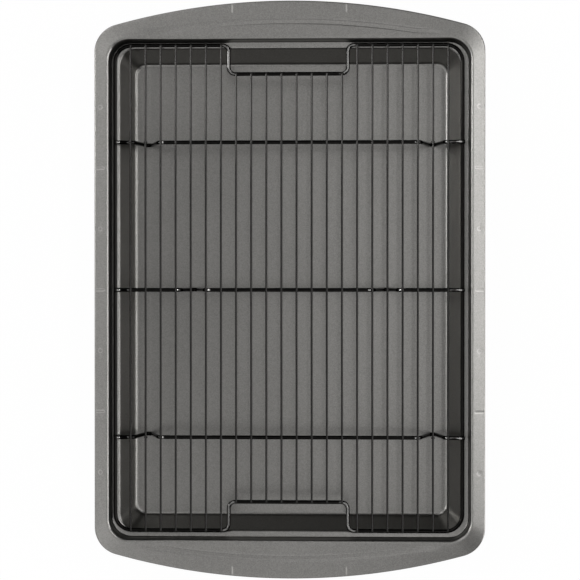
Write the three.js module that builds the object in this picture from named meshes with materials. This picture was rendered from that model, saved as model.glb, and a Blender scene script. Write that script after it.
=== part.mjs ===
// Baking pan with a footed wire rack: a stamped, non-stick steel pan whose bowed ends are its handles,
// and a lift-out rack of welded wire that lies on the ledge in the pan's wall and stands on six feet.
// Millimetres, +Z up. The origin is under the middle of the floor; X runs across the pan, Y along it.
import * as THREE from 'three';

const { clamp, degToRad, smoothstep } = THREE.MathUtils;

// Pan: sheet, rim and bowed ends
const SHEET = 0.6; // thickness of the steel
const RIM_WIDTH = 301.4; // over the long sides
const RIM_LENGTH = 445.6; // over the bowed ends
const RIM_CORNER = 22; // plan radius of the rim's corners
const END_BOW = 507; // plan radius of the bowed ends
const RIM_FALL = 1.2; // how far the rim slopes down to its edge
const HEM_RADIUS = 1.1; // outside of the folded edge
const HEM_RETURN = 3.5; // flat strip tucked back under the rim
const GRIP_BAND = 15.8; // raised band left round a bowed end, at its middle
const GRIP_BOW = 619; // plan radius of the step between the band and the thumb panel
const GRIP_STEP = 3.2; // width of that step
const GRIP_DROP = 1; // how far the thumb panel lies below the band
const GRIP_FADE = 5; // depth of panel over which the drop comes in from its tips
const STEP_NEAREST = 0.15; // shares of the rim's width: where the step may start, from the opening,
const STEP_FARTHEST = 0.5;
const STEP_WIDEST = 0.4; // and what it may take up

// Pan: opening, ledge and floor
const OPENING_WIDTH = 279; // inside the rim, across
const OPENING_LENGTH = 386; // inside the rim, along
const OPENING_CORNER = 16; // plan radius of the opening's corners
const CORNER_TIGHTENING = 0.45; // plan radius lost for each millimetre that the wall comes in
const PAN_DEPTH = 45; // rim to floor
const RIM_BEND = 2; // from the rim into the wall
const LEDGE_DROP = 13; // rim to ledge
const UPPER_WALL_RUN = 0.8; // how far the upper wall leans in
const LEDGE_WIDTH = 6.5; // along the sides
const END_LEDGE_WIDTH = 5.1; // along the ends
const LEDGE_FILLET = 1.1; // at the foot of the upper wall
const LEDGE_BEND = 2; // over the ledge's edge
const LOWER_WALL_LEAN = degToRad(15);
const FLOOR_FILLET = 2.8;

// Rack: wires and clearances
const HEAVY_WIRE = 3; // frame and cross wires
const BAR_WIRE = 1.6;
const BAR_COUNT = 22;
const NOTCH_BARS = 8; // bars that stop short at the finger notches
const NOTCH_DEPTH = 22.3;
const NOTCH_TUCK = 0.7; // how far its sides lie in from midway between two bars
const FRAME_CORNER = 13; // plan radius, on the wire's centre line
const NOTCH_BEND = 5;
const RACK_PLAY = 2.4; // frame to upper wall, all round, when the rack is centred
const FAR_END_GAP = 1.1; // what is left of that play at the far end, where the rack lies
const LEFT_SIDE_GAP = 1.3; // and on its left
const SEAT_GAP = 0.3; // rack to ledge and floor
const WELD_GAP = 0.2; // between crossing wires
const WIRE_OVERHANG = 1.2; // wire ends past the centre line of the wire they are welded to
const CROSS_SPACING = 114.5; // between the cross wires
const CROSS_DRIFT = 1.4; // how far they lie from the rack's middle, towards its near end
const SIDE_DRIFT = 0.65; // how far they and the bars lie from its middle, towards its right
const FOOT_INSET = 22.5; // foot to frame wire, on the near and far cross wires
const MIDDLE_FOOT_INSET = 58.7; // and on the middle one
const FOOT_WIDTH = 4.8; // between the bends of a foot
const LEG_RUN_INSIDE = 8.5; // how far a leg spreads on its way up, towards the middle
const LEG_RUN_OUTSIDE = 6.1; // and towards the frame
const FOOT_BEND = 3;
const LEG_BEND = 4;
const RISE_START = 9; // where a cross wire starts to rise over the frame wire, from that wire
const RISE_END = 2.6; // and where it is level again
const RISE_BEND = 4;

// Fineness of the facets
const SHEET_FACET = degToRad(30);
const WIRE_FACET = degToRad(22.5);
const WIRE_SIDES = 10;
const BAR_SIDES = 8;
const SIDE_STEPS = 2;
const CORNER_STEPS = 6;
const END_STEPS = 8;

const rimTop = SHEET + PAN_DEPTH;
const ledgeTop = rimTop - LEDGE_DROP;
const ledgeEdge = UPPER_WALL_RUN + LEDGE_WIDTH;
const floorEdge = ledgeEdge + (PAN_DEPTH - LEDGE_DROP) * Math.tan(LOWER_WALL_LEAN);

const frameHalfWidth = OPENING_WIDTH / 2 - UPPER_WALL_RUN - RACK_PLAY - HEAVY_WIRE / 2;
const frameHalfLength = OPENING_LENGTH / 2 - UPPER_WALL_RUN - RACK_PLAY - HEAVY_WIRE / 2;
const barPitch = (2 * frameHalfWidth) / (BAR_COUNT + 1);
const notchHalfWidth = (NOTCH_BARS / 2) * barPitch - NOTCH_TUCK;
const notchLine = frameHalfLength - NOTCH_DEPTH;
const barLevel = HEAVY_WIRE / 2 + WELD_GAP + BAR_WIRE / 2;

const nonStick = new THREE.MeshStandardMaterial({ color: 0x8d8983, metalness: 0.7, roughness: 0.45 });
const blackCoat = new THREE.MeshStandardMaterial({ color: 0x171615, metalness: 0.2, roughness: 0.3 });

// Points along straight runs with rounded corners, each corner written as [x, y, radius].
// Every point carries the direction on its left. A radius is limited by the runs beside it.
function roundedPath(corners, facet, closed = false) {
  const spots = corners.map(([x, y]) => new THREE.Vector2(x, y));
  const last = spots.length - 1;
  const isEnd = (i) => !closed && (i === 0 || i === last);
  const path = [];
  spots.forEach((spot, i) => {
    const before = i === 0 ? last : i - 1;
    const after = i === last ? 0 : i + 1;
    const runIn = spot.clone().sub(spots[before]);
    const runOut = spots[after].clone().sub(spot);
    const ahead = (!closed && i === 0 ? runOut : runIn).clone().normalize();
    const left = new THREE.Vector2(-ahead.y, ahead.x);
    const turn = isEnd(i) ? 0 : Math.atan2(runIn.cross(runOut), runIn.dot(runOut));
    const slope = Math.tan(Math.abs(turn) / 2);
    const room = Math.min(
      runIn.length() * (isEnd(before) ? 1 : 0.5),
      runOut.length() * (isEnd(after) ? 1 : 0.5),
    );
    const reach = Math.min(corners[i][2] * slope, room);
    const radius = slope > 0 ? (Math.sign(turn) * reach) / slope : 0;
    const centre = spot.clone().addScaledVector(ahead, -reach).addScaledVector(left, radius);
    const steps = Math.max(1, Math.ceil(Math.abs(turn) / facet));
    for (let step = 0; step <= steps; step += 1) {
      const normal = left.clone().rotateAround(new THREE.Vector2(), (turn * step) / steps);
      const point = centre.clone().addScaledVector(normal, -radius);
      if (path.length === 0 || path.at(-1).point.distanceTo(point) > 1e-6) path.push({ point, normal });
    }
  });
  return path;
}

// A quarter of a rounded outline, from the middle of its long side to the middle of its end.
// The end may be bowed: `bow` is the radius of its arc, or Infinity for a straight end.
function quarterOutline(halfWidth, halfLength, corner, bow) {
  const reach = halfWidth - corner;
  const lean = Number.isFinite(bow) ? Math.asin(reach / (bow - corner)) : 0;
  const sag = Number.isFinite(bow) ? (bow - corner) * (1 - Math.cos(lean)) : 0;
  const centre = new THREE.Vector2(reach, halfLength - corner - sag);
  const points = [];
  for (let step = 0; step < SIDE_STEPS; step += 1) {
    points.push(new THREE.Vector2(halfWidth, (centre.y * step) / SIDE_STEPS));
  }
  for (let step = 0; step < CORNER_STEPS; step += 1) {
    const angle = ((Math.PI / 2 - lean) * step) / CORNER_STEPS;
    points.push(new THREE.Vector2(Math.cos(angle), Math.sin(angle)).multiplyScalar(corner).add(centre));
  }
  for (let step = 0; step <= END_STEPS; step += 1) {
    const share = 1 - step / END_STEPS;
    const straight = new THREE.Vector2(reach * share, halfLength);
    const bowed = new THREE.Vector2(Math.sin(lean * share), Math.cos(lean * share) - 1);
    points.push(lean > 0 ? bowed.multiplyScalar(bow).add(new THREE.Vector2(0, halfLength)) : straight);
  }
  return points;
}

function rimQuarter(inset) {
  return quarterOutline(
    RIM_WIDTH / 2 - inset,
    RIM_LENGTH / 2 - inset,
    RIM_CORNER - inset,
    END_BOW - inset,
  );
}

// The opening's outline, further in down the wall. Along the ledge, the ends come in less than the sides.
function openingQuarter(inset) {
  const shareOfLedge = clamp((inset - UPPER_WALL_RUN) / LEDGE_WIDTH, 0, 1);
  const endInset = inset + shareOfLedge * (END_LEDGE_WIDTH - LEDGE_WIDTH);
  return quarterOutline(
    OPENING_WIDTH / 2 - inset,
    OPENING_LENGTH / 2 - endInset,
    OPENING_CORNER - CORNER_TIGHTENING * inset,
    Infinity,
  );
}

// A full ring from its quarter, which runs from the middle of the long side to the middle of the end.
function mirrored(quarter) {
  const out = quarter.slice(0, -1);
  const back = quarter.slice(1).reverse();
  const flipped = (points, x, y) => points.map((p) => new THREE.Vector3(x * p.x, y * p.y, p.z));
  return [...flipped(out, 1, 1), ...flipped(back, -1, 1), ...flipped(out, -1, -1), ...flipped(back, 1, -1)];
}

// One closed skin through rings that run the same way round, with a fan over the first and the last.
function loft(rings) {
  const count = rings[0].length;
  const middle = (ring) => ring.reduce((sum, p) => sum.add(p), new THREE.Vector3()).divideScalar(count);
  const points = [...rings.flat(), middle(rings[0]), middle(rings.at(-1))];
  const firstMiddle = rings.length * count;
  const lastRow = firstMiddle - count;
  const triangles = [];
  for (let i = 0; i < count; i += 1) {
    const j = (i + 1) % count;
    for (let row = 0; row < lastRow; row += count) {
      triangles.push(row + i, row + count + i, row + count + j);
      triangles.push(row + i, row + count + j, row + j);
    }
    triangles.push(firstMiddle, i, j);
    triangles.push(firstMiddle + 1, lastRow + j, lastRow + i);
  }
  const geometry = new THREE.BufferGeometry().setFromPoints(points);
  geometry.setIndex(triangles);
  geometry.computeVertexNormals();
  return geometry;
}

// How deep the thumb panel is, from the opening to the step, at each point of the opening's outline.
// The sides and corners have none.
function panelDepths(opening) {
  const stepApex = RIM_LENGTH / 2 - GRIP_BAND;
  return opening.map(({ x, y }, i) => {
    if (i < SIDE_STEPS + CORNER_STEPS) return 0;
    const stepLine = stepApex - GRIP_BOW + Math.sqrt(GRIP_BOW ** 2 - x ** 2);
    return Math.max(0, stepLine - y);
  });
}

// The pan is one sheet. Its outer face is followed from the hem's free edge, up round the edge, over
// the rim, down the stepped wall and on to the floor; the other face lies one thickness behind it.
function panShell() {
  const hem = roundedPath(
    [
      [HEM_RADIUS + HEM_RETURN, rimTop - 2 * HEM_RADIUS, 0],
      [0, rimTop - 2 * HEM_RADIUS, HEM_RADIUS],
      [0, rimTop, HEM_RADIUS],
      [HEM_RADIUS, rimTop, 0],
    ],
    SHEET_FACET,
  );
  const wall = roundedPath(
    [
      [-RIM_BEND, rimTop, 0],
      [0, rimTop, RIM_BEND],
      [UPPER_WALL_RUN, ledgeTop, LEDGE_FILLET],
      [ledgeEdge, ledgeTop, LEDGE_BEND],
      [floorEdge, SHEET, FLOOR_FILLET],
      [floorEdge + FLOOR_FILLET, SHEET, 0],
    ],
    SHEET_FACET,
  );
  const rimInner = openingQuarter(-RIM_BEND);
  const rimOuter = rimQuarter(HEM_RADIUS);
  const depths = panelDepths(rimInner);
  const drops = depths.map((depth) => GRIP_DROP * smoothstep(depth, 0, GRIP_FADE));

  const ring = (outline, height) => {
    return mirrored(outline.map((p, i) => new THREE.Vector3(p.x, p.y, height(i))));
  };
  const hemRing = (inset, z) => ring(rimQuarter(inset), () => z - RIM_FALL);
  // The wall under a thumb panel starts lower and is whole again at the ledge.
  const wallRing = (inset, z) => {
    const share = clamp((z - ledgeTop) / LEDGE_DROP, 0, 1);
    return ring(openingQuarter(inset), (i) => z - drops[i] * share);
  };
  // A line along the sloping rim, on the inner or the outer edge of the step from the panel to the band.
  const stepRing = (z, isOuter) => {
    const shares = rimInner.map((inner, i) => {
      const width = rimOuter[i].distanceTo(inner);
      const start = clamp(depths[i] - GRIP_STEP / 2, STEP_NEAREST * width, STEP_FARTHEST * width);
      const step = isOuter ? Math.min(GRIP_STEP, STEP_WIDEST * width) : 0;
      return (start + step) / width;
    });
    const line = rimInner.map((inner, i) => inner.clone().lerp(rimOuter[i], shares[i]));
    return ring(line, (i) => z - RIM_FALL * shares[i] - (isOuter ? 0 : drops[i]));
  };
  const face = (behind) => [
    ...hem.map(({ point, normal }) => {
      const spot = point.clone().addScaledVector(normal, -behind);
      return hemRing(spot.x, spot.y);
    }),
    stepRing(rimTop - behind, true),
    stepRing(rimTop - behind, false),
    ...wall.map(({ point, normal }) => {
      const spot = point.clone().addScaledVector(normal, -behind);
      return wallRing(spot.x, spot.y);
    }),
  ];
  return loft([...face(0).reverse(), ...face(SHEET)]);
}

// A wire's centre line through given points, where the parameter counts the points and not the length.
class BentWire extends THREE.Curve {
  constructor(points) {
    super();
    this.points = points;
  }

  getPoint(t, target = new THREE.Vector3()) {
    const place = t * (this.points.length - 1);
    const start = Math.min(Math.floor(place), this.points.length - 2);
    return target.lerpVectors(this.points[start], this.points[start + 1], place - start);
  }

  getUtoTmapping(u) {
    return u;
  }
}

// The frame is one endless wire with a finger notch in the middle of each end.
function frameWire() {
  const half = [
    [frameHalfWidth, 0, 0],
    [frameHalfWidth, frameHalfLength, FRAME_CORNER],
    [notchHalfWidth, frameHalfLength, NOTCH_BEND],
    [notchHalfWidth, notchLine, NOTCH_BEND],
    [-notchHalfWidth, notchLine, NOTCH_BEND],
    [-notchHalfWidth, frameHalfLength, NOTCH_BEND],
    [-frameHalfWidth, frameHalfLength, FRAME_CORNER],
  ];
  const corners = [...half, ...half.map(([x, y, radius]) => [-x, -y, radius])];
  const outline = roundedPath(corners, WIRE_FACET, true);
  const loop = outline.map(({ point }) => new THREE.Vector3(point.x, point.y, 0));
  const path = new BentWire([...loop, loop[0]]);
  return new THREE.TubeGeometry(path, loop.length, HEAVY_WIRE / 2, WIRE_SIDES, true);
}

// A cross wire runs level under the bars, dips to a foot on the pan's floor near each end, and then
// rises over the frame wire that it is welded to.
function crossWire(footInset) {
  const foot = frameHalfWidth - footInset;
  const footLevel = ledgeTop - SHEET;
  const rise = HEAVY_WIRE + WELD_GAP;
  const half = [
    [foot - FOOT_WIDTH / 2 - LEG_RUN_INSIDE, 0, LEG_BEND],
    [foot - FOOT_WIDTH / 2, -footLevel, FOOT_BEND],
    [foot + FOOT_WIDTH / 2, -footLevel, FOOT_BEND],
    [foot + FOOT_WIDTH / 2 + LEG_RUN_OUTSIDE, 0, LEG_BEND],
    [frameHalfWidth - RISE_START, 0, RISE_BEND],
    [frameHalfWidth - RISE_END, rise, RISE_BEND],
    [frameHalfWidth + WIRE_OVERHANG, rise, 0],
  ];
  const corners = [...half.map(([x, z, radius]) => [-x, z, radius]).reverse(), ...half];
  const line = roundedPath(corners, WIRE_FACET).map(({ point }) => new THREE.Vector3(point.x, 0, point.y));
  const section = new THREE.Shape().absarc(0, 0, HEAVY_WIRE / 2, 0, 2 * Math.PI);
  return new THREE.ExtrudeGeometry(section, {
    extrudePath: new BentWire(line),
    steps: line.length - 1,
    curveSegments: WIRE_SIDES / 2,
  });
}

function bar(x) {
  const reach = Math.abs(x) < notchHalfWidth ? notchLine : frameHalfLength;
  return new THREE.CylinderGeometry(BAR_WIRE / 2, BAR_WIRE / 2, 2 * (reach + WIRE_OVERHANG), BAR_SIDES);
}

function named(name, geometry, material) {
  const mesh = new THREE.Mesh(geometry, material.clone());
  mesh.name = name;
  return mesh;
}

const pan = new THREE.Group();
pan.add(named('pan_shell', panShell(), nonStick));

// The rack's own level is the centre line of its frame wire.
const rack = new THREE.Group();
rack.position.set(LEFT_SIDE_GAP - RACK_PLAY, RACK_PLAY - FAR_END_GAP, ledgeTop + SEAT_GAP + HEAVY_WIRE / 2);
rack.add(named('frame_wire', frameWire(), blackCoat));
['near', 'middle', 'far'].forEach((place, i) => {
  const footInset = place === 'middle' ? MIDDLE_FOOT_INSET : FOOT_INSET;
  const wire = named(`cross_wire_${place}`, crossWire(footInset), blackCoat);
  wire.position.set(SIDE_DRIFT, (i - 1) * CROSS_SPACING - CROSS_DRIFT, 0);
  rack.add(wire);
});
for (let i = 1; i <= BAR_COUNT; i += 1) {
  const x = i * barPitch - frameHalfWidth + SIDE_DRIFT;
  const wire = named(`bar_${String(i).padStart(2, '0')}`, bar(x), blackCoat);
  wire.position.set(x, 0, barLevel);
  rack.add(wire);
}

const bakingPanWithRack = new THREE.Group();
bakingPanWithRack.add(pan, rack);

export default bakingPanWithRack;
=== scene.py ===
"""Baking pan with a footed wire rack: its pieces, a white table, studio light and the camera.

Metres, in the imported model's frame: X across the pan, Y along it, Z up from the table.
"""

import math

import bpy
import numpy as np
from mathutils import Matrix, Vector


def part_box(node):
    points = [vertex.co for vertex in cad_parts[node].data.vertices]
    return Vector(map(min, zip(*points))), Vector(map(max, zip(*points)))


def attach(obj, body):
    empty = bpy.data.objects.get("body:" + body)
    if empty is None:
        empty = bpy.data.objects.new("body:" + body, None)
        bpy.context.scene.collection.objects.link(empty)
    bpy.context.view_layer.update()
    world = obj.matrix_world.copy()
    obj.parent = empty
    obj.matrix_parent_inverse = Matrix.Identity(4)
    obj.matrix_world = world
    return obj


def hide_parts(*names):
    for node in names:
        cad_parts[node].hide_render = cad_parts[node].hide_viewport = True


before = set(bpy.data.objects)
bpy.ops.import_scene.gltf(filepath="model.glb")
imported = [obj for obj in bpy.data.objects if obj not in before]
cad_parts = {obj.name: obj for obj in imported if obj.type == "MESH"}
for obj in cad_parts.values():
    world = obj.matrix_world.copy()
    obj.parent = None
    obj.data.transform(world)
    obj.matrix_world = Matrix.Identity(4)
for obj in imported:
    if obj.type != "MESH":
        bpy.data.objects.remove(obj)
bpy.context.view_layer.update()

MM = 0.001

# Pan: sheet, rim and bowed ends
SHEET = 0.6 * MM
RIM_CORNER = 22 * MM
END_BOW = 507 * MM
HEM_RADIUS = 1.1 * MM
HEM_RETURN = 3.5 * MM
GRIP_BAND = 15.8 * MM
GRIP_BOW = 619 * MM
GRIP_STEP = 3.2 * MM
GRIP_DROP = 1 * MM
GRIP_FADE = 5 * MM
GROOVE_DEPTH = 0.19 * MM
RIM_FALL = 1.2 * MM

# Pan: opening, ledge and floor
OPENING_HALF_WIDTH = 139.5 * MM
OPENING_HALF_LENGTH = 193 * MM
OPENING_CORNER = 16 * MM
CORNER_TIGHTENING = 0.45
RIM_BEND = 2 * MM
LEDGE_DROP = 13 * MM
LEDGE_FALL = 0.45 * MM
UPPER_WALL_RUN = 0.8 * MM
LEDGE_WIDTH = 6.5 * MM
END_LEDGE_WIDTH = 5.1 * MM
LEDGE_FILLET = 1.1 * MM
LEDGE_BEND = 3 * MM
LOWER_WALL_LEAN = math.radians(15)
FLOOR_FILLET = 2.8 * MM

# Pan: marks pressed into the rim, slots and dimples in turn along the sides, two slots in each end
MARK_SPACING = 47 * MM
MARKS_PER_QUARTER = 4
END_SLOT_PLACE = 44 * MM
MARK_DEPTH = 0.085 * MM
DIMPLE_RADIUS = 2.5 * MM
SLOT_HALF_WIDTH = 1.6 * MM
END_SLOT_HALF_WIDTH = 0.95 * MM
# Painted highlight on the marks: how much paler the coating is painted on the side marks' slopes,
# and inside the end slots
MARK_SLOPE_HIGHLIGHT = 0.46
END_SLOT_HIGHLIGHT = 0.75
SLOT_START = 0.56 * MM
SLOT_FULL_DEPTH = 1.4 * MM
SLOT_END = 7 * MM
DIMPLE_INSET = 4.6 * MM
FLAT_OF_DIMPLE = 0.25
FLAT_OF_SLOT = 0.2

# Rack
HEAVY_WIRE = 3 * MM
BAR_WIRE = 1.6 * MM
WIRE_OVERHANG = 1.2 * MM
FRAME_CORNER = 13 * MM
NOTCH_BEND = 5 * MM
NOTCH_TUCK = 0.7 * MM
FOOT_INSET = 22.5 * MM
MIDDLE_FOOT_INSET = 58.7 * MM
FOOT_WIDTH = 4.8 * MM
LEG_RUN_INSIDE = 8.5 * MM
LEG_RUN_OUTSIDE = 6.1 * MM
FOOT_BEND = 3 * MM
LEG_BEND = 4 * MM
RISE_START = 9 * MM
RISE_END = 2.6 * MM
RISE_BEND = 4 * MM
END_ROUNDING = 0.5 * MM
END_TAPER = 0.85
BAR_WAVER = 0.12 * MM
BAR_WAVER_LENGTH = 80 * MM
WAVER_SEED = 3.0

# Weld beads: half sizes
BAR_WELD = (1.35 * MM, 0.95 * MM, 0.55 * MM)
FRAME_WELD = (1.14 * MM, 2.025 * MM, 0.55 * MM)
WELD_UNEVENNESS = 0.15
WELD_SEED = 5

# Painted highlight on the wires' upward crest near the bends: how far it goes along them from a
# bend, and how strong it is, stronger on bends that tilt to the left; then the bars' even polish,
# and the upward tilt of the surface where the painted highlight starts and where it is full
NOTCH_GLINT_REACH = 7 * MM
BEND_GLINT_REACH = 4.2 * MM
NOTCH_GLINT = 0.2
LEFTWARD_GLINT = 1.0
RIGHTWARD_GLINT = 0.6
RISE_FOOT_GLINT = 0.1
RISE_GLINT = 0.45
BAR_POLISH = 0.018
CREST_START = 0.82
CREST_FULL = 0.99

# Grey coating
SPECKLE_SIZE = 0.9 * MM
FLAKE_SIZE = 0.6 * MM
CLOUD_SIZE = 60 * MM
COAT_GRAIN_SIZE = 1.3 * MM
COAT_GRAIN_DEPTH = 0.03 * MM
COAT_GRAIN_STRENGTH = 0.15
SPECKLE_CONTRAST = 1.4
FLAKE_CONTRAST = 1.0
CLOUD_CONTRAST = 0.6
COAT_DARK = (0.19, 0.186, 0.178, 1)
COAT_LIGHT = (0.25, 0.245, 0.235, 1)
# Paler coating painted on the marks: a painted highlight
COAT_MARK_HIGHLIGHT = (0.46, 0.45, 0.43, 1)
COAT_EDGE_TINT = (0.7, 0.7, 0.7, 1)
COAT_ROUGHNESS = 0.3
CLOUD_ROUGHNESS = 0.04
SPECKLE_ROUGHNESS = 0.05

# Black coating
RUN_SIZE = 5 * MM
WIRE_GRAIN_SIZE = 0.8 * MM
RUN_HEIGHT = 0.8
WIRE_GRAIN_HEIGHT = 0.2
WIRE_BUMP_DEPTH = 0.12 * MM
WIRE_BUMP_STRENGTH = 0.35
WIRE_DARK = (0.006, 0.0057, 0.0054, 1)
WIRE_LIGHT = (0.012, 0.0115, 0.011, 1)
# Pale metal painted on the wires' crests as a painted highlight; the bars also mix a little of it
# in evenly as their polish
WIRE_GLINT_AND_POLISH = (0.8, 0.79, 0.77, 1)
WIRE_EDGE_TINT = (0.42, 0.42, 0.42, 1)
WIRE_ROUGHNESS = 0.12
RUN_ROUGHNESS = 0.1
WIRE_GRAIN_ROUGHNESS = 0.06

# Table, room and camera
TABLE_HALF_SIZE = 12.0
TABLE_CLOUD_SIZE = 0.4
TABLE_DARK = (0.80, 0.80, 0.80, 1)
TABLE_LIGHT = (0.84, 0.84, 0.84, 1)
TABLE_GLOW = 0.975
WHITE = (1, 1, 1, 1)
ROOM_LIGHT = (1, 0.995, 0.985, 1)
ROOM_BRIGHTNESS = 0.03
LENS_MM = 121.02
SENSOR_MM = 36
CAMERA_AIM = (0.64 * MM, -0.08 * MM)
CAMERA_FROM_AIM = (0.050, 0.012, 1.5)

# Lamps: lean from straight above to the right and to the far end, width and length (all in
# degrees, as the pan sees them), and brightness
LAMP_DISTANCE = 3.0
LAMPS = {
    "right_soft_box": (26, 13, 8, 46, 7.2),
    "left_soft_box": (-26, 0, 8, 66, 1.6),
    "overhead_box": (4, 0, 8, 20, 1.83),
    "left_overhead_box": (-7.5, 0, 15, 20, 0.4),
    "far_overhead_box": (-11, 23, 38, 26, 0.81),
    "near_overhead_box": (-11, -23, 38, 26, 0.83),
    "far_left_box": (-60, 23, 40, 26, 1.0),
    "far_left_strip": (-60, 16.5, 40, 4.3, 16),
    "near_left_box": (-60, -23, 40, 26, 1.4),
    "right_side_box": (68, -13, 24, 46, 6.2),
    "far_low_box": (-40, 52, 40, 30, 1.85),
    "near_low_box": (-20, -52, 80, 30, 1.05),
}

# Fineness of the meshes
FINE_FACET = math.radians(9)
PLAIN_FACET = math.radians(20)
MARK_STEP = 0.3 * MM
MARK_ZONE = 2 * MM
MARK_CLEARANCE = 2.5 * MM
SIDE_STEP = 6 * MM
END_STEP = 5 * MM
CORNER_STEPS = 16
BLEND_STEPS = 3
STRAIGHT_SIDE = 162 * MM
STRAIGHT_END = 112 * MM
BAND_RINGS = 9
# Stops across the step round a thumb panel (share of its width, share of the groove's depth)
STEP_STOPS = (
    (-0.12, 0), (-0.06, 0.5), (0, 1), (0.06, 0.5), (0.12, 0), (0.26, 0), (0.42, 0),
    (0.58, 0), (0.74, 0), (0.88, 0), (0.94, 0.5), (1, 1), (1.06, 0.5), (1.12, 0),
)
# Limits of that step, as shares of the rim's width: nearest start, furthest start, width
STEP_LIMITS = (0.15, 0.5, 0.4)
PANEL_RINGS = 7
HEAVY_WIRE_SIDES = 20
BAR_SIDES = 14
BEND_STEPS = 9
BAR_STOPS = 64
# Points close to a cross wire's tip: the rounding of its end, divided by these
TIP_PARTS = (1, 2, 6)
BEAD_SEGMENTS = 14
BEAD_RINGS = 8
SAME_POINT = 1e-8
STOP_DECIMALS = 7

# Places that the frame gives
rim_half_width, rim_half_length, rim_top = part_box("pan_shell")[1]
ledge_top = rim_top - LEDGE_DROP
ledge_edge = UPPER_WALL_RUN + LEDGE_WIDTH
floor_edge = ledge_edge + (ledge_top - SHEET) * math.tan(LOWER_WALL_LEAN)
frame_low, frame_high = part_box("frame_wire")
rack_middle = (frame_low + frame_high) / 2
bar_boxes = [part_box(name) for name in sorted(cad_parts) if name.startswith("bar_")]
cross_boxes = [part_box(f"cross_wire_{place}") for place in ("near", "middle", "far")]
frame_half_width = (cross_boxes[0][1].x - cross_boxes[0][0].x) / 2 - WIRE_OVERHANG
frame_half_length = max(high.y for low, high in bar_boxes) - rack_middle.y - WIRE_OVERHANG
notch_line = min(high.y for low, high in bar_boxes) - rack_middle.y - WIRE_OVERHANG
bar_pitch = (bar_boxes[-1][0].x - bar_boxes[0][0].x) / (len(bar_boxes) - 1)
notch_bars = sum(high.y < frame_half_length for low, high in bar_boxes)
notch_half_width = bar_pitch * notch_bars / 2 - NOTCH_TUCK


class Socket:
    """An output of a node, with arithmetic that adds Math nodes to its tree."""

    def __init__(self, nodes, socket):
        self.nodes = nodes
        self.socket = socket

    def maths(self, operation, *operands):
        return self.nodes.add("ShaderNodeMath", dict(enumerate(operands)), operation=operation)

    def __add__(self, other):
        return self.maths("ADD", self, other)

    def __radd__(self, other):
        return self.maths("ADD", other, self)

    def __sub__(self, other):
        return self.maths("SUBTRACT", self, other)

    def __rsub__(self, other):
        return self.maths("SUBTRACT", other, self)

    def __mul__(self, other):
        return self.maths("MULTIPLY", self, other)

    def __rmul__(self, other):
        return self.maths("MULTIPLY", other, self)

    def __truediv__(self, other):
        return self.maths("DIVIDE", self, other)

    def __pow__(self, other):
        return self.maths("POWER", self, other)


class Nodes:
    """Adds nodes to a tree: first a node's settings, then the values or links of its sockets."""

    def __init__(self, tree):
        self.tree = tree
        tree.nodes.clear()

    @staticmethod
    def find(sockets, key):
        usable = [socket for socket in sockets if socket.enabled]
        return usable[key] if isinstance(key, int) else next(s for s in usable if s.name == key)

    def add(self, kind, sockets=None, output=0, **settings):
        node = self.tree.nodes.new(kind)
        for name, value in settings.items():
            setattr(node, name, value)
        for key, value in (sockets or {}).items():
            target = self.find(node.inputs, key)
            if isinstance(value, Socket):
                self.tree.links.new(value.socket, target)
            else:
                target.default_value = value
        return Socket(self, self.find(node.outputs, output)) if len(node.outputs) else None


def surface_material(name):
    material = bpy.data.materials.new(name)
    material.use_nodes = True
    return material, Nodes(material.node_tree)


def noise(nodes, place, size, detail=2.0):
    """Clouds with lumps of about the given size."""
    return nodes.add("ShaderNodeTexNoise", {"Vector": place, "Scale": 1 / size, "Detail": detail})


def bump(nodes, height, depth, strength):
    return nodes.add("ShaderNodeBump", {"Height": height, "Distance": depth, "Strength": strength})


def blend(nodes, factor, first, second):
    return nodes.add("ShaderNodeMix", {"Factor": factor, "A": first, "B": second}, data_type="RGBA")


def finish_surface(nodes, sockets):
    surface = nodes.add("ShaderNodeBsdfPrincipled", sockets)
    nodes.add("ShaderNodeOutputMaterial", {"Surface": surface})


def non_stick_coating():
    """Satin grey coating with a fine metallic speckle, a little cloudy, with a painted highlight on
    the pressed marks.
    """
    material, nodes = surface_material("non_stick_coating")
    place = nodes.add("ShaderNodeTexCoord", output="Object")
    speckle = noise(nodes, place, SPECKLE_SIZE)
    flakes = nodes.add(
        "ShaderNodeTexVoronoi",
        {"Vector": place, "Scale": 1 / FLAKE_SIZE},
        output="Color",
    )
    sparkle = nodes.add("ShaderNodeSeparateColor", {"Color": flakes})
    clouds = noise(nodes, place, CLOUD_SIZE, detail=4)
    shade = (
        0.5
        + (speckle - 0.5) * SPECKLE_CONTRAST
        + (sparkle - 0.5) * FLAKE_CONTRAST
        + (clouds - 0.5) * CLOUD_CONTRAST
    )
    coat = blend(nodes, shade, COAT_DARK, COAT_LIGHT)
    # Painted highlight: paler coating on the marks' slopes and in the end slots
    worn = nodes.add("ShaderNodeAttribute", output="Fac", attribute_name="worn")
    roughness = (
        COAT_ROUGHNESS
        + (clouds - 0.5) * CLOUD_ROUGHNESS
        + (speckle - 0.5) * SPECKLE_ROUGHNESS
    )
    grain = noise(nodes, place, COAT_GRAIN_SIZE, detail=3)
    finish_surface(nodes, {
        "Base Color": blend(nodes, worn, coat, COAT_MARK_HIGHLIGHT),
        "Metallic": 1.0,
        "Specular Tint": COAT_EDGE_TINT,
        "Roughness": roughness,
        "Normal": bump(nodes, grain, COAT_GRAIN_DEPTH, COAT_GRAIN_STRENGTH),
    })
    return material


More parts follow.
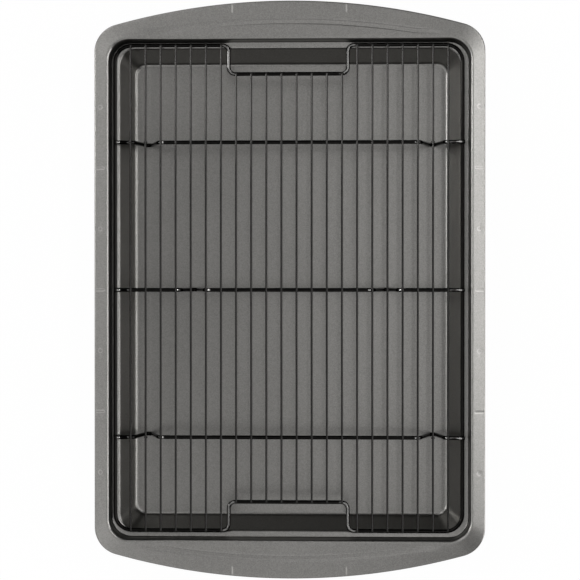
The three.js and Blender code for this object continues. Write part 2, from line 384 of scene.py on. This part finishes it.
def black_wire_coating():
    """Black coating, uneven where it ran and dried, with a painted highlight along the upward crest
    of the bends.
    """
    material, nodes = surface_material("black_wire_coating")
    place = nodes.add("ShaderNodeTexCoord", output="Object")
    runs = noise(nodes, place, RUN_SIZE, detail=3)
    grain = noise(nodes, place, WIRE_GRAIN_SIZE)
    coat = blend(nodes, runs, WIRE_DARK, WIRE_LIGHT)
    # Painted highlight: pale metal on the upward-facing crest of the wire near its bends, where the
    # mesh's glint share is set
    normal = nodes.add("ShaderNodeNewGeometry", output="Normal")
    upward = nodes.add("ShaderNodeSeparateXYZ", {"Vector": normal}, output="Z")
    crest = nodes.add(
        "ShaderNodeMapRange",
        {"Value": upward, "From Min": CREST_START, "From Max": CREST_FULL},
        interpolation_type="SMOOTHSTEP",
    )
    burnish = nodes.add("ShaderNodeAttribute", output="Fac", attribute_name="burnish")
    polish = nodes.add("ShaderNodeAttribute", output="Fac", attribute_name="polish")
    roughness = (
        WIRE_ROUGHNESS
        + (runs - 0.5) * RUN_ROUGHNESS
        + (grain - 0.5) * WIRE_GRAIN_ROUGHNESS
    )
    height = runs * RUN_HEIGHT + grain * WIRE_GRAIN_HEIGHT
    finish_surface(nodes, {
        # Painted highlight on the crests, plus the bars' even polish
        "Base Color": blend(nodes, burnish * crest + polish, coat, WIRE_GLINT_AND_POLISH),
        "Metallic": 1.0,
        "Specular Tint": WIRE_EDGE_TINT,
        "Roughness": roughness,
        "Normal": bump(nodes, height, WIRE_BUMP_DEPTH, WIRE_BUMP_STRENGTH),
    })
    return material


def table_white():
    """White to the camera and in reflections, with the pan's soft shadow kept."""
    material, nodes = surface_material("table_white")
    place = nodes.add("ShaderNodeTexCoord", output="Object")
    tone = blend(nodes, noise(nodes, place, TABLE_CLOUD_SIZE), TABLE_DARK, TABLE_LIGHT)
    matt = nodes.add("ShaderNodeBsdfDiffuse", {"Color": tone})
    glow = nodes.add("ShaderNodeEmission", {"Color": WHITE, "Strength": 1.0})
    seen = nodes.add("ShaderNodeLightPath", output="Is Camera Ray")
    mirrored_ray = nodes.add("ShaderNodeLightPath", output="Is Glossy Ray")
    share = seen.maths("MAXIMUM", seen, mirrored_ray) * TABLE_GLOW
    surface = nodes.add("ShaderNodeMixShader", {0: share, 1: matt, 2: glow})
    nodes.add("ShaderNodeOutputMaterial", {"Surface": surface})
    return material


def place_piece(name, mesh):
    piece = bpy.data.objects.new(name, mesh)
    bpy.context.collection.objects.link(piece)
    return piece


def new_mesh(name, points, edges=(), faces=(), **attributes):
    """A mesh with a number or a vector kept at each point."""
    mesh = bpy.data.meshes.new(name)
    mesh.from_pydata([tuple(point) for point in points], edges, faces)
    for label, values in attributes.items():
        is_vector = np.ndim(values) == 2
        kind, field = ("FLOAT_VECTOR", "vector") if is_vector else ("FLOAT", "value")
        layer = mesh.attributes.new(label, kind, "POINT")
        layer.data.foreach_set(field, np.ravel(values).astype(np.float32))
    return mesh


def rounded_line(corners, facet):
    """Points on a line with rounded corners (across, up, radius), and the way left at each."""
    spots = np.array([corner[:2] for corner in corners])
    points = []
    normals = []
    for i, (spot, corner) in enumerate(zip(spots, corners)):
        is_end = i in (0, len(corners) - 1)
        run = spots[1] - spot if i == 0 else spot - spots[i - 1]
        ahead = run / np.linalg.norm(run)
        left = np.array([-ahead[1], ahead[0]])
        turn = 0.0
        if not is_end:
            after = spots[i + 1] - spot
            turn = math.atan2(ahead[0] * after[1] - ahead[1] * after[0], ahead @ after)
        reach = corner[2] * math.tan(abs(turn) / 2)
        centre = spot - ahead * reach + left * math.copysign(corner[2], turn)
        steps = max(1, math.ceil(abs(turn) / facet)) if corner[2] and not is_end else 0
        for step in range(steps + 1):
            angle = turn * step / steps if steps else 0.0
            normal = left * math.cos(angle) - ahead * math.sin(angle)
            point = spot if is_end else centre - normal * math.copysign(corner[2], turn)
            if points and np.linalg.norm(point - points[-1]) < SAME_POINT:
                continue
            points.append(point)
            normals.append(normal)
    return np.array(points), np.array(normals)


def smooth(value, start, end):
    share = np.clip((value - start) / (end - start), 0, 1)
    return share * share * (3 - 2 * share)


def stops_with_marks(length, step, marks):
    """Distances from 0 to a length, close together around each mark."""
    near = [np.arange(-MARK_ZONE, MARK_ZONE, MARK_STEP) + mark for mark in marks]
    far = np.linspace(0, length, round(length / step) + 1)
    clear = [place for place in far if all(abs(place - mark) > MARK_CLEARANCE for mark in marks)]
    stops = np.unique(np.round(np.concatenate([*near, clear, [0, length]]), STOP_DECIMALS))
    return stops[(stops >= 0) & (stops <= length)]


side_marks = [i * MARK_SPACING for i in range(MARKS_PER_QUARTER)]
side_stops = stops_with_marks(STRAIGHT_SIDE, SIDE_STEP, side_marks)
end_stops = stops_with_marks(STRAIGHT_END, END_STEP, [END_SLOT_PLACE])


def quarter_outline(half_width, half_length, corner, bow=None):
    """A quarter of a rounded outline, from the middle of its side to the middle of its end."""
    reach = half_width - corner
    lean = math.asin(reach / (bow - corner)) if bow else 0.0
    sag = (bow - corner) * (1 - math.cos(lean)) if bow else 0.0
    centre = np.array([reach, half_length - corner - sag])
    between = np.linspace(0, 1, BLEND_STEPS, endpoint=False)[1:]
    side = np.concatenate([side_stops, STRAIGHT_SIDE + between * (centre[1] - STRAIGHT_SIDE)])
    angles = np.linspace(0, math.pi / 2 - lean, CORNER_STEPS + 1)
    bend = centre + corner * np.column_stack([np.cos(angles), np.sin(angles)])
    end = np.concatenate([bend[-1, 0] + between * (STRAIGHT_END - bend[-1, 0]), end_stops[::-1]])
    end_line = np.full_like(end, half_length)
    if bow:
        end_line = half_length - bow + np.sqrt(bow ** 2 - end ** 2)
    return np.vstack([
        np.column_stack([np.full_like(side, half_width), side]),
        bend,
        np.column_stack([end, end_line]),
    ])


def rim_quarter(inset):
    return quarter_outline(
        rim_half_width - inset,
        rim_half_length - inset,
        RIM_CORNER - inset,
        END_BOW - inset,
    )


def opening_quarter(inset):
    """The opening's outline, which comes in less at the ends than at the sides along the ledge."""
    share_of_ledge = np.clip((inset - UPPER_WALL_RUN) / LEDGE_WIDTH, 0, 1)
    end_inset = inset + share_of_ledge * (END_LEDGE_WIDTH - LEDGE_WIDTH)
    corner = OPENING_CORNER - CORNER_TIGHTENING * inset
    return quarter_outline(OPENING_HALF_WIDTH - inset, OPENING_HALF_LENGTH - end_inset, corner)


def all_round(quarter):
    """A full ring of points (x, y, z, painted highlight on the marks) from its quarter."""
    out = quarter[:-1]
    back = quarter[:0:-1]
    turns = [(out, 1, 1), (back, -1, 1), (out, -1, -1), (back, 1, -1)]
    return np.vstack([part * np.array([x, y, 1, 1]) for part, x, y in turns])


def slot_share(inset, sideways, half_width):
    """A share of a slot's depth, `inset` from the rim's edge, `sideways` from its middle line."""
    run = np.maximum(inset - SLOT_END, 0)
    away = np.hypot(run, sideways) / half_width
    return (1 - smooth(away, FLAT_OF_SLOT, 1)) * smooth(inset, SLOT_START, SLOT_FULL_DEPTH)


def rim_marks(plan):
    """How deep the marks are, and how much painted highlight they carry, as shares, at given points
    of a quarter of the rim.
    """
    x, y = plan.T
    inset = rim_half_width - x
    end_inset = rim_half_length - END_BOW + np.sqrt(END_BOW ** 2 - x ** 2) - y
    on_side = y < STRAIGHT_SIDE
    share = np.zeros(len(plan))
    for i, mark in enumerate(side_marks):
        if i % 2:
            away = np.hypot(inset - DIMPLE_INSET, y - mark) / DIMPLE_RADIUS
            share = np.maximum(share, (1 - smooth(away, FLAT_OF_DIMPLE, 1)) * on_side)
        else:
            share = np.maximum(share, slot_share(inset, y - mark, SLOT_HALF_WIDTH) * on_side)
    end_slot = slot_share(end_inset, x - END_SLOT_PLACE, END_SLOT_HALF_WIDTH) * ~on_side
    # Painted highlight, strongest on the steepest part of each mark's slope, and across the end
    # slots
    worn_edges = MARK_SLOPE_HIGHLIGHT * (4 * share * (1 - share)) ** 3
    return share + end_slot, worn_edges + END_SLOT_HIGHLIGHT * end_slot


def pan_face(behind, facet):
    """The rings of one face of the sheet, from the hem's free edge over the rim to the floor."""
    hem, hem_normals = rounded_line(
        [
            (HEM_RADIUS + HEM_RETURN, rim_top - 2 * HEM_RADIUS, 0),
            (0, rim_top - 2 * HEM_RADIUS, HEM_RADIUS),
            (0, rim_top, HEM_RADIUS),
            (HEM_RADIUS, rim_top, 0),
        ],
        facet,
    )
    wall, wall_normals = rounded_line(
        [
            (-RIM_BEND, rim_top, 0),
            (0, rim_top, RIM_BEND),
            (UPPER_WALL_RUN, ledge_top, LEDGE_FILLET),
            (ledge_edge, ledge_top - LEDGE_FALL, LEDGE_BEND),
            (floor_edge, SHEET, FLOOR_FILLET),
            (floor_edge + FLOOR_FILLET, SHEET, 0),
        ],
        facet,
    )
    hem = hem - hem_normals * behind
    wall = wall - wall_normals * behind
    inner = opening_quarter(-RIM_BEND)
    outer = rim_quarter(HEM_RADIUS)
    step_line = rim_half_length - GRIP_BAND - GRIP_BOW + np.sqrt(GRIP_BOW ** 2 - inner[:, 0] ** 2)
    on_end = inner[:, 0] < OPENING_HALF_WIDTH - OPENING_CORNER
    panel = np.maximum(0, step_line - inner[:, 1]) * on_end
    drop = GRIP_DROP * smooth(panel, 0, GRIP_FADE)

    across = outer - inner
    width = np.linalg.norm(across, axis=1)
    nearest, furthest, widest = (share * width for share in STEP_LIMITS)
    step_start = np.clip(panel - GRIP_STEP / 2, nearest, furthest)
    step_end = step_start + np.minimum(GRIP_STEP, widest)

    def ring(plan, height):
        pressed, worn = rim_marks(plan)
        if behind:
            pressed, worn = 0 * pressed, 0 * worn
        return all_round(np.column_stack([plan, height - pressed * MARK_DEPTH, worn]))

    def hem_ring(inset, height):
        return ring(rim_quarter(inset), np.full(len(inner), height - RIM_FALL))

    def rim_ring(from_inner, dropped, grooved=0.0):
        share = from_inner / width
        groove = grooved * GROOVE_DEPTH * drop / GRIP_DROP * (behind == 0)
        height = rim_top - behind - drop * dropped - groove - RIM_FALL * share
        return ring(inner + across * share[:, None], height)

    def wall_ring(inset, height):
        share = np.clip((height - ledge_top) / LEDGE_DROP, 0, 1)
        plan = opening_quarter(inset)
        return all_round(np.column_stack([plan, height - drop * share, np.zeros(len(plan))]))

    rings = [hem_ring(inset, height) for inset, height in hem[:-1]]
    step_rings = [step_end + (step_start - step_end) * share for share, grooved in STEP_STOPS]
    for share in np.linspace(0, 1, BAND_RINGS + 1)[1:-1]:
        rings.append(rim_ring(width + (step_rings[0] - width) * share, 0))
    for place, (share, grooved) in zip(step_rings, STEP_STOPS):
        rings.append(rim_ring(place, smooth(share, 0, 1), grooved))
    for share in np.linspace(0, 1, PANEL_RINGS + 1)[1:-1]:
        rings.append(rim_ring(step_rings[-1] * (1 - share), 1))
    return rings + [wall_ring(inset, height) for inset, height in wall]


def make_pan(material):
    """One sheet: its upper face, and its under face one thickness behind, joined at the hem."""
    rings = pan_face(0, FINE_FACET)[::-1] + pan_face(SHEET, PLAIN_FACET)
    count = len(rings[0])
    ahead = (np.arange(count) + 1) % count
    here = np.arange(count)
    faces = []
    for row in range(len(rings) - 1):
        low = row * count
        high = low + count
        faces += np.column_stack([low + here, high + here, high + ahead, low + ahead]).tolist()
    faces.append(here.tolist())
    faces.append(((len(rings) - 1) * count + here[::-1]).tolist())
    points = np.vstack(rings)
    mesh = new_mesh("pan", points[:, :3], faces=faces, worn=points[:, 3])
    mesh.materials.append(material)
    mesh.shade_smooth()
    return place_piece("pan", mesh)


def new_tree(name, inputs):
    """An empty Geometry Nodes tree with named inputs."""
    tree = bpy.data.node_groups.new(name, "GeometryNodeTree")
    tree.interface.new_socket("Geometry", in_out="INPUT", socket_type="NodeSocketGeometry")
    for label, kind in inputs.items():
        tree.interface.new_socket(label, in_out="INPUT", socket_type=f"NodeSocket{kind}")
    tree.interface.new_socket("Geometry", in_out="OUTPUT", socket_type="NodeSocketGeometry")
    return tree, Nodes(tree)


def tree_input(nodes, label):
    return nodes.add("NodeGroupInput", output=label)


def finish_tree(nodes, geometry):
    """Ends a tree: smooth faces, plain meshes in place of instances, and the coating."""
    shaded = nodes.add("GeometryNodeSetShadeSmooth", {"Geometry": geometry})
    real = nodes.add("GeometryNodeRealizeInstances", {"Geometry": shaded})
    coating = tree_input(nodes, "Coating")
    coated = nodes.add("GeometryNodeSetMaterial", {"Geometry": real, "Material": coating})
    nodes.add("NodeGroupOutput", {"Geometry": coated})


def wire_round(nodes, line):
    """A round wire along curves, with its free ends rounded off."""
    along = nodes.add("GeometryNodeSplineParameter", output="Length")
    whole = nodes.add("GeometryNodeSplineLength", output="Length")
    endless = nodes.add("GeometryNodeInputSplineCyclic")
    from_end = along.maths("MINIMUM", along, whole - along)
    share = from_end.maths("MINIMUM", from_end / tree_input(nodes, "End Rounding"), 1.0)
    girth = (1 - (1 - share) ** 2.0 * END_TAPER) ** 0.5
    section = nodes.add("GeometryNodeCurvePrimitiveCircle", {
        "Resolution": tree_input(nodes, "Sides"),
        "Radius": tree_input(nodes, "Wire") * 0.5,
    })
    return nodes.add("GeometryNodeCurveToMesh", {
        "Curve": line,
        "Profile Curve": section,
        "Scale": girth.maths("MAXIMUM", girth, endless),
        "Fill Caps": True,
    })


WIRE_INPUTS = {"Wire": "Float", "End Rounding": "Float", "Sides": "Int", "Coating": "Material"}


def bent_wire_tree():
    """A wire bent at the corners of a line, by the radius that each corner's `bend` gives."""
    tree, nodes = new_tree("bent_wire", {**WIRE_INPUTS, "Bend Steps": "Int"})
    line = nodes.add("GeometryNodeMeshToCurve", {"Mesh": tree_input(nodes, "Geometry")})
    bend = nodes.add("GeometryNodeInputNamedAttribute", {"Name": "bend"}, data_type="FLOAT")
    bent = nodes.add(
        "GeometryNodeFilletCurve",
        {
            "Curve": line,
            "Radius": bend,
            "Count": tree_input(nodes, "Bend Steps"),
            "Limit Radius": True,
        },
        mode="POLY",
    )
    finish_tree(nodes, wire_round(nodes, bent))
    return tree


def bar_row_tree():
    """Bars, not quite straight, one on each point, with the half length that its `reach` gives."""
    inputs = {**WIRE_INPUTS, "Stops": "Int", "Waver": "Float", "Seed": "Float"}
    tree, nodes = new_tree("bar_row", inputs)
    unit = nodes.add("GeometryNodeCurvePrimitiveLine", {"Start": (0, -1, 0), "End": (0, 1, 0)})
    stops = tree_input(nodes, "Stops")
    even = nodes.add("GeometryNodeResampleCurve", {"Curve": unit, "Count": stops})
    position = nodes.add("GeometryNodeInputPosition")
    along = nodes.add("ShaderNodeSeparateXYZ", {"Vector": position}, output="Y")
    crowded = along.maths("SINE", along * (math.pi / 2))
    line = nodes.add("GeometryNodeSetPosition", {
        "Geometry": even,
        "Position": nodes.add("ShaderNodeCombineXYZ", {"Y": crowded}),
    })
    reach = nodes.add("GeometryNodeInputNamedAttribute", {"Name": "reach"}, data_type="FLOAT")
    bars = nodes.add("GeometryNodeInstanceOnPoints", {
        "Points": tree_input(nodes, "Geometry"),
        "Instance": line,
        "Scale": nodes.add("ShaderNodeCombineXYZ", {"X": 1.0, "Y": reach, "Z": 1.0}),
    })
    lines = nodes.add("GeometryNodeRealizeInstances", {"Geometry": bars})
    drift = nodes.add(
        "ShaderNodeTexNoise",
        {
            "Vector": position,
            "W": tree_input(nodes, "Seed"),
            "Scale": 1 / BAR_WAVER_LENGTH,
            "Detail": 0.0,
        },
        noise_dimensions="4D",
    )
    sideways = (drift - 0.5) * tree_input(nodes, "Waver") * 2
    wavered = nodes.add("GeometryNodeSetPosition", {
        "Geometry": lines,
        "Offset": nodes.add("ShaderNodeCombineXYZ", {"X": sideways}),
    })
    finish_tree(nodes, wire_round(nodes, wavered))
    return tree


def weld_tree():
    """A flat bead of weld on each point, with the half sizes that its `bead` gives."""
    tree, nodes = new_tree("welds", {"Unevenness": "Float", "Seed": "Int", "Coating": "Material"})
    ball = nodes.add("GeometryNodeMeshUVSphere", {
        "Segments": BEAD_SEGMENTS,
        "Rings": BEAD_RINGS,
        "Radius": 1.0,
    })
    bead = nodes.add("GeometryNodeInputNamedAttribute", {"Name": "bead"}, data_type="FLOAT_VECTOR")
    luck = nodes.add("FunctionNodeRandomValue", {
        "Min": 1 - tree_input(nodes, "Unevenness"),
        "Max": 1 + tree_input(nodes, "Unevenness"),
        "Seed": tree_input(nodes, "Seed"),
    }, data_type="FLOAT")
    size = nodes.add("ShaderNodeVectorMath", {"Vector": bead, "Scale": luck}, operation="SCALE")
    beads = nodes.add("GeometryNodeInstanceOnPoints", {
        "Points": tree_input(nodes, "Geometry"),
        "Instance": ball,
        "Scale": size,
    })
    finish_tree(nodes, beads)
    return tree


def grown(name, mesh, tree, values):
    """The plain mesh that a tree grows from a seed mesh, as a piece at the origin."""
    seed = place_piece(f"{name}_seed", mesh)
    modifier = seed.modifiers.new(tree.name, "NODES")
    modifier.node_group = tree
    for item in tree.interface.items_tree:
        if item.in_out == "INPUT" and item.name in values:
            modifier[item.identifier] = values[item.name]
    bpy.context.view_layer.update()
    depsgraph = bpy.context.evaluated_depsgraph_get()
    plain = bpy.data.meshes.new_from_object(seed.evaluated_get(depsgraph), depsgraph=depsgraph)
    bpy.data.objects.remove(seed)
    plain.name = name
    return place_piece(name, plain)


def heavy_wires(name, runs, closed, tree, coating):
    """Heavy wires through corners (x, y, z, bend, painted highlight), each run a wire of its own.
    """
    points = []
    edges = []
    for run in runs:
        first = len(points)
        points += run
        edges += [(i, i + 1) for i in range(first, len(points) - 1)]
        if closed:
            edges.append((len(points) - 1, first))
    points = np.array(points)
    mesh = new_mesh(name, points[:, :3], edges, bend=points[:, 3], burnish=points[:, 4])
    return grown(name, mesh, tree, {
        "Wire": HEAVY_WIRE,
        "End Rounding": END_ROUNDING,
        "Sides": HEAVY_WIRE_SIDES,
        "Bend Steps": BEND_STEPS,
        "Coating": coating,
    })


def make_frame(tree, coating):
    """One endless wire with a finger notch in the middle of each end."""
    # The last column is the painted highlight on the notch's bends
    quarter = [
        (frame_half_width, 0, 0, 0),
        (frame_half_width, frame_half_length, FRAME_CORNER, 0),
        (notch_half_width + NOTCH_GLINT_REACH, frame_half_length, 0, 0),
        (notch_half_width, frame_half_length, NOTCH_BEND, NOTCH_GLINT),
        (notch_half_width, notch_line, NOTCH_BEND, NOTCH_GLINT),
        (notch_half_width - NOTCH_GLINT_REACH, notch_line, 0, 0),
    ]
    half = quarter + [(-x, y, *rest) for x, y, *rest in quarter[:0:-1]]
    loop = half + [(-x, -y, *rest) for x, y, *rest in half]
    run = [(x + rack_middle.x, y + rack_middle.y, rack_middle.z, *rest) for x, y, *rest in loop]
    return heavy_wires("rack_frame", [run], True, tree, coating)


def burnished_bends(corners):
    """Corners (across, up, bend, painted highlight), with points added where the painted highlight
    of a bend ends.
    """
    line = [corners[0]]
    for before, after in zip(corners, corners[1:]):
        start, end = np.array(before[:2]), np.array(after[:2])
        reach = min(BEND_GLINT_REACH / np.linalg.norm(end - start), 0.5)
        shares = [reach] * bool(before[3]) + [1 - reach] * bool(after[3])
        for share in sorted(set(shares)):
            line.append((*(start + (end - start) * share), 0, 0))
        line.append(after)
    return line


def half_cross_wire(foot, inner_burnish, outer_burnish):
    """Corners (across, up, bend, painted highlight) from a leg, by way of the foot, to the wire's
    tip.
    """
    foot_level = SHEET - ledge_top
    rise = cross_boxes[0][1].z - HEAVY_WIRE / 2 - rack_middle.z
    tip = frame_half_width + WIRE_OVERHANG
    return [
        (foot - FOOT_WIDTH / 2 - LEG_RUN_INSIDE, 0, LEG_BEND, inner_burnish),
        (foot - FOOT_WIDTH / 2, foot_level, FOOT_BEND, 0),
        (foot + FOOT_WIDTH / 2, foot_level, FOOT_BEND, 0),
        (foot + FOOT_WIDTH / 2 + LEG_RUN_OUTSIDE, 0, LEG_BEND, outer_burnish),
        (frame_half_width - RISE_START, 0, RISE_BEND, RISE_FOOT_GLINT),
        (frame_half_width - RISE_END, rise, RISE_BEND, RISE_GLINT),
        *[(tip - END_ROUNDING / part, rise, 0, 0) for part in TIP_PARTS],
        (tip, rise, 0, 0),
    ]


def make_cross_wires(tree, coating):
    """Level wires under the bars, which dip to a foot near each end and rise over the frame."""
    runs = []
    for (low, high), foot_inset in zip(cross_boxes, (FOOT_INSET, MIDDLE_FOOT_INSET, FOOT_INSET)):
        foot = frame_half_width - foot_inset
        # Painted highlight, stronger on the bends that tilt to the left
        left = half_cross_wire(foot, LEFTWARD_GLINT, RIGHTWARD_GLINT)
        right = half_cross_wire(foot, RIGHTWARD_GLINT, LEFTWARD_GLINT)
        line = burnished_bends([(-x, *rest) for x, *rest in left[::-1]] + right)
        middle = (low + high) / 2
        runs.append([(x + middle.x, middle.y, rack_middle.z + up, *rest) for x, up, *rest in line])
    return heavy_wires("rack_cross_wires", runs, False, tree, coating)


def make_bars(coating):
    middles = [(low + high) / 2 for low, high in bar_boxes]
    reaches = [(high.y - low.y) / 2 for low, high in bar_boxes]
    mesh = new_mesh("rack_bars", middles, reach=reaches, polish=[BAR_POLISH] * len(middles))
    return grown("rack_bars", mesh, bar_row_tree(), {
        "Wire": BAR_WIRE,
        "End Rounding": END_ROUNDING,
        "Sides": BAR_SIDES,
        "Stops": BAR_STOPS,
        "Waver": BAR_WAVER,
        "Seed": WAVER_SEED,
        "Coating": coating,
    })


def make_welds(coating):
    """Beads where the bars cross the heavy wires, and where the cross wires lie on the frame."""
    heavy_top = rack_middle.z + HEAVY_WIRE / 2
    cross_lines = [(low.y + high.y) / 2 for low, high in cross_boxes]
    places = []
    beads = []
    for low, high in bar_boxes:
        x = (low.x + high.x) / 2
        for y in [low.y + WIRE_OVERHANG, *cross_lines, high.y - WIRE_OVERHANG]:
            places.append((x, y, heavy_top))
            beads.append(BAR_WELD)
    for y in cross_lines:
        for x in (-frame_half_width, frame_half_width):
            places.append((x + rack_middle.x, y, heavy_top))
            beads.append(FRAME_WELD)
    mesh = new_mesh("rack_welds", places, bead=beads)
    return grown("rack_welds", mesh, weld_tree(), {
        "Unevenness": WELD_UNEVENNESS,
        "Seed": WELD_SEED,
        "Coating": coating,
    })


def make_table():
    size = TABLE_HALF_SIZE
    corners = [(-size, -size, 0), (size, -size, 0), (size, size, 0), (-size, size, 0)]
    mesh = new_mesh("table", corners, faces=[(0, 1, 2, 3)])
    mesh.materials.append(table_white())
    return place_piece("table", mesh)


def facing(place, target):
    """The placing of something that looks from a place at a target, with +Y up in its picture."""
    back = (place - target).normalized()
    right = Vector((0, 1, 0)).cross(back).normalized()
    up = back.cross(right)
    turned = Matrix((right, up, back)).transposed().to_4x4()
    return Matrix.Translation(place) @ turned


def soft_box(name, right, far, spread, reach, brightness):
    """A soft light that faces the pan: its lean from straight above and its size, in degrees."""
    lamp = bpy.data.lights.new(name, "AREA")
    lamp.shape = "RECTANGLE"
    lamp.size = 2 * LAMP_DISTANCE * math.tan(math.radians(spread) / 2)
    lamp.size_y = 2 * LAMP_DISTANCE * math.tan(math.radians(reach) / 2)
    lamp.energy = brightness * math.pi * lamp.size * lamp.size_y
    light = bpy.data.objects.new(name, lamp)
    target = Vector((0, 0, rim_top))
    way = Vector((math.tan(math.radians(right)), math.tan(math.radians(far)), 1)).normalized()
    light.matrix_world = facing(target + way * LAMP_DISTANCE, target)
    light.visible_camera = False
    bpy.context.collection.objects.link(light)


def make_world():
    """Faint light from all round, and white where the camera sees past the table."""
    world = bpy.data.worlds.new("studio")
    bpy.context.scene.world = world
    world.use_nodes = True
    nodes = Nodes(world.node_tree)
    room = nodes.add("ShaderNodeBackground", {"Color": ROOM_LIGHT, "Strength": ROOM_BRIGHTNESS})
    white = nodes.add("ShaderNodeBackground", {"Color": WHITE, "Strength": 1.0})
    seen = nodes.add("ShaderNodeLightPath", output="Is Camera Ray")
    surface = nodes.add("ShaderNodeMixShader", {0: seen, 1: room, 2: white})
    nodes.add("ShaderNodeOutputWorld", {"Surface": surface})


def make_camera():
    """Almost straight above the pan, leaning a little towards its right-hand side."""
    lens = bpy.data.cameras.new("camera")
    lens.sensor_width = SENSOR_MM
    lens.lens = LENS_MM
    camera = bpy.data.objects.new("camera", lens)
    target = Vector((*CAMERA_AIM, rim_top))
    camera.matrix_world = facing(target + Vector(CAMERA_FROM_AIM), target)
    bpy.context.collection.objects.link(camera)
    bpy.context.scene.camera = camera


make_camera()
non_stick = non_stick_coating()
black_coat = black_wire_coating()
bent_wire = bent_wire_tree()

pan = make_pan(non_stick)
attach(pan, "pan")
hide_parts("pan_shell")

rack_frame = make_frame(bent_wire, black_coat)
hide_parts("frame_wire")
cross_wires = make_cross_wires(bent_wire, black_coat)
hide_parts("cross_wire_near", "cross_wire_middle", "cross_wire_far")
bars = make_bars(black_coat)
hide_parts(*[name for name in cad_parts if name.startswith("bar_")])
welds = make_welds(black_coat)
for piece in (rack_frame, cross_wires, bars, welds):
    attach(piece, "rack")

make_table()
make_world()
for lamp_name, lamp_values in LAMPS.items():
    soft_box(lamp_name, *lamp_values)
bpy.context.scene.view_settings.view_transform = "Standard"
